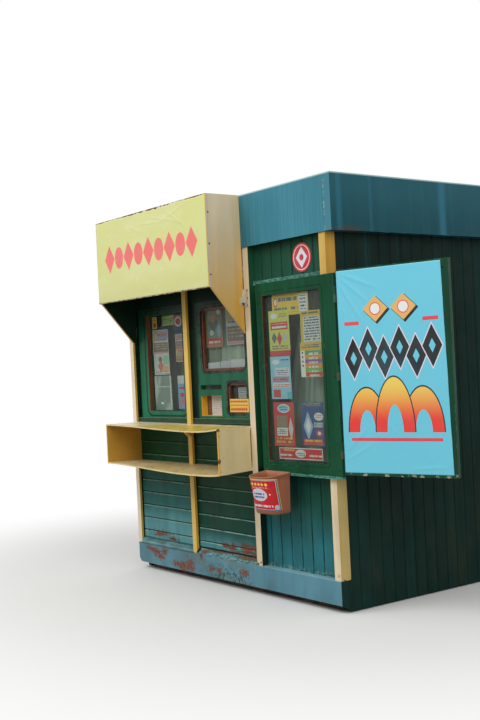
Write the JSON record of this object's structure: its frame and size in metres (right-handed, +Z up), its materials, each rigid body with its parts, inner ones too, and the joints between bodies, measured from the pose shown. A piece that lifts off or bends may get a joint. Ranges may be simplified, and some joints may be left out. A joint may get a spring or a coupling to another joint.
{
  "type": "street kiosk",
  "caption": "Small walk-in street kiosk with a serving hatch under a sign canopy, a shelf box, a show window with a hinged shutter, a litter bin and a rear door.",
  "frame": {"origin": "on the ground under the middle of the cabin's floor plan, on the middle bearer's underside", "axes": "+X to the right along the serving front, +Y from the front into the kiosk, +Z up"},
  "size_m": [3.3716, 2.446, 2.75],
  "materials": {
    "dark_steel": "dull, dirty",
    "floor_board": "worn",
    "roof_sheet": "dull",
    "dark_green_cladding": "satin, weathered",
    "window_green": "gloss, weathered",
    "board_green": "satin, weathered",
    "cream_paint": "satin, weathered",
    "yellow_paint": "gloss, worn",
    "pale_blue_paint": "satin, chipped",
    "brown_wood": "varnished",
    "black_rubber": "dull, weathered",
    "window_glass": "clear",
    "fascia_paint": "satin",
    "sign_sheet": "satin, wrinkled",
    "bin_plastic": "matte",
    "rusty_steel": "rusty"
  },
  "bodies": {
    "kiosk": {"base_bearers": "dark_steel", "bay_siding": "board_green", "bay_sills": "window_green", "bin_hooks": "dark_steel", "boards_over_window": "board_green", "boards_under_window": "board_green", "canopy_left_cheek": "cream_paint", "canopy_right_cheek": "cream_paint", "canopy_roof": "cream_paint", "canopy_sign": "sign_sheet", "corner_post": "yellow_paint", "drip_boards": "pale_blue_paint", "fascia_front": "fascia_paint", "fascia_left": "fascia_paint", "fascia_left_return": "fascia_paint", "fascia_rear": "fascia_paint", "fascia_right": "fascia_paint", "floor": "floor_board", "hasp": "rusty_steel", "hatch_sleeve": "yellow_paint", "head_trim": "pale_blue_paint", "header_boards": "window_green", "hinge_pins": "dark_steel", "jamb_board": "window_green", "left_post": "cream_paint", "left_wall": "dark_green_cladding", "left_window_frame": "window_green", "litter_bin": "bin_plastic", "middle_post": "yellow_paint", "plinth_corner": "dark_green_cladding", "plinth_left": "pale_blue_paint", "plinth_right": "pale_blue_paint", "rear_door": "window_green", "rear_door_frame": "window_green", "rear_door_hinges": "dark_steel", "rear_wall": "dark_green_cladding", "right_post": "cream_paint", "right_wall": "dark_green_cladding", "roof": "roof_sheet", "serving_glass": "window_glass", "serving_panel": "window_green", "shelf_bottom": "yellow_paint", "shelf_braces": "yellow_paint", "shelf_cheeks": "cream_paint", "shelf_top": "yellow_paint", "show_window_bead": "brown_wood", "show_window_frame": "window_green", "show_window_glass": "window_glass", "window_beads": "brown_wood", "window_gaskets": "black_rubber", "window_ledge": "board_green"},
    "shutter": {"shutter_leaf": "window_green"}
  },
  "joints": [
    {"name": "shutter_hinge", "type": "hinge", "parent": "kiosk", "child": "shutter", "pos_m": [1.325, -1.085, 1], "axis": [0, 0, 1], "range_deg": [-195, 75]}
  ]
}
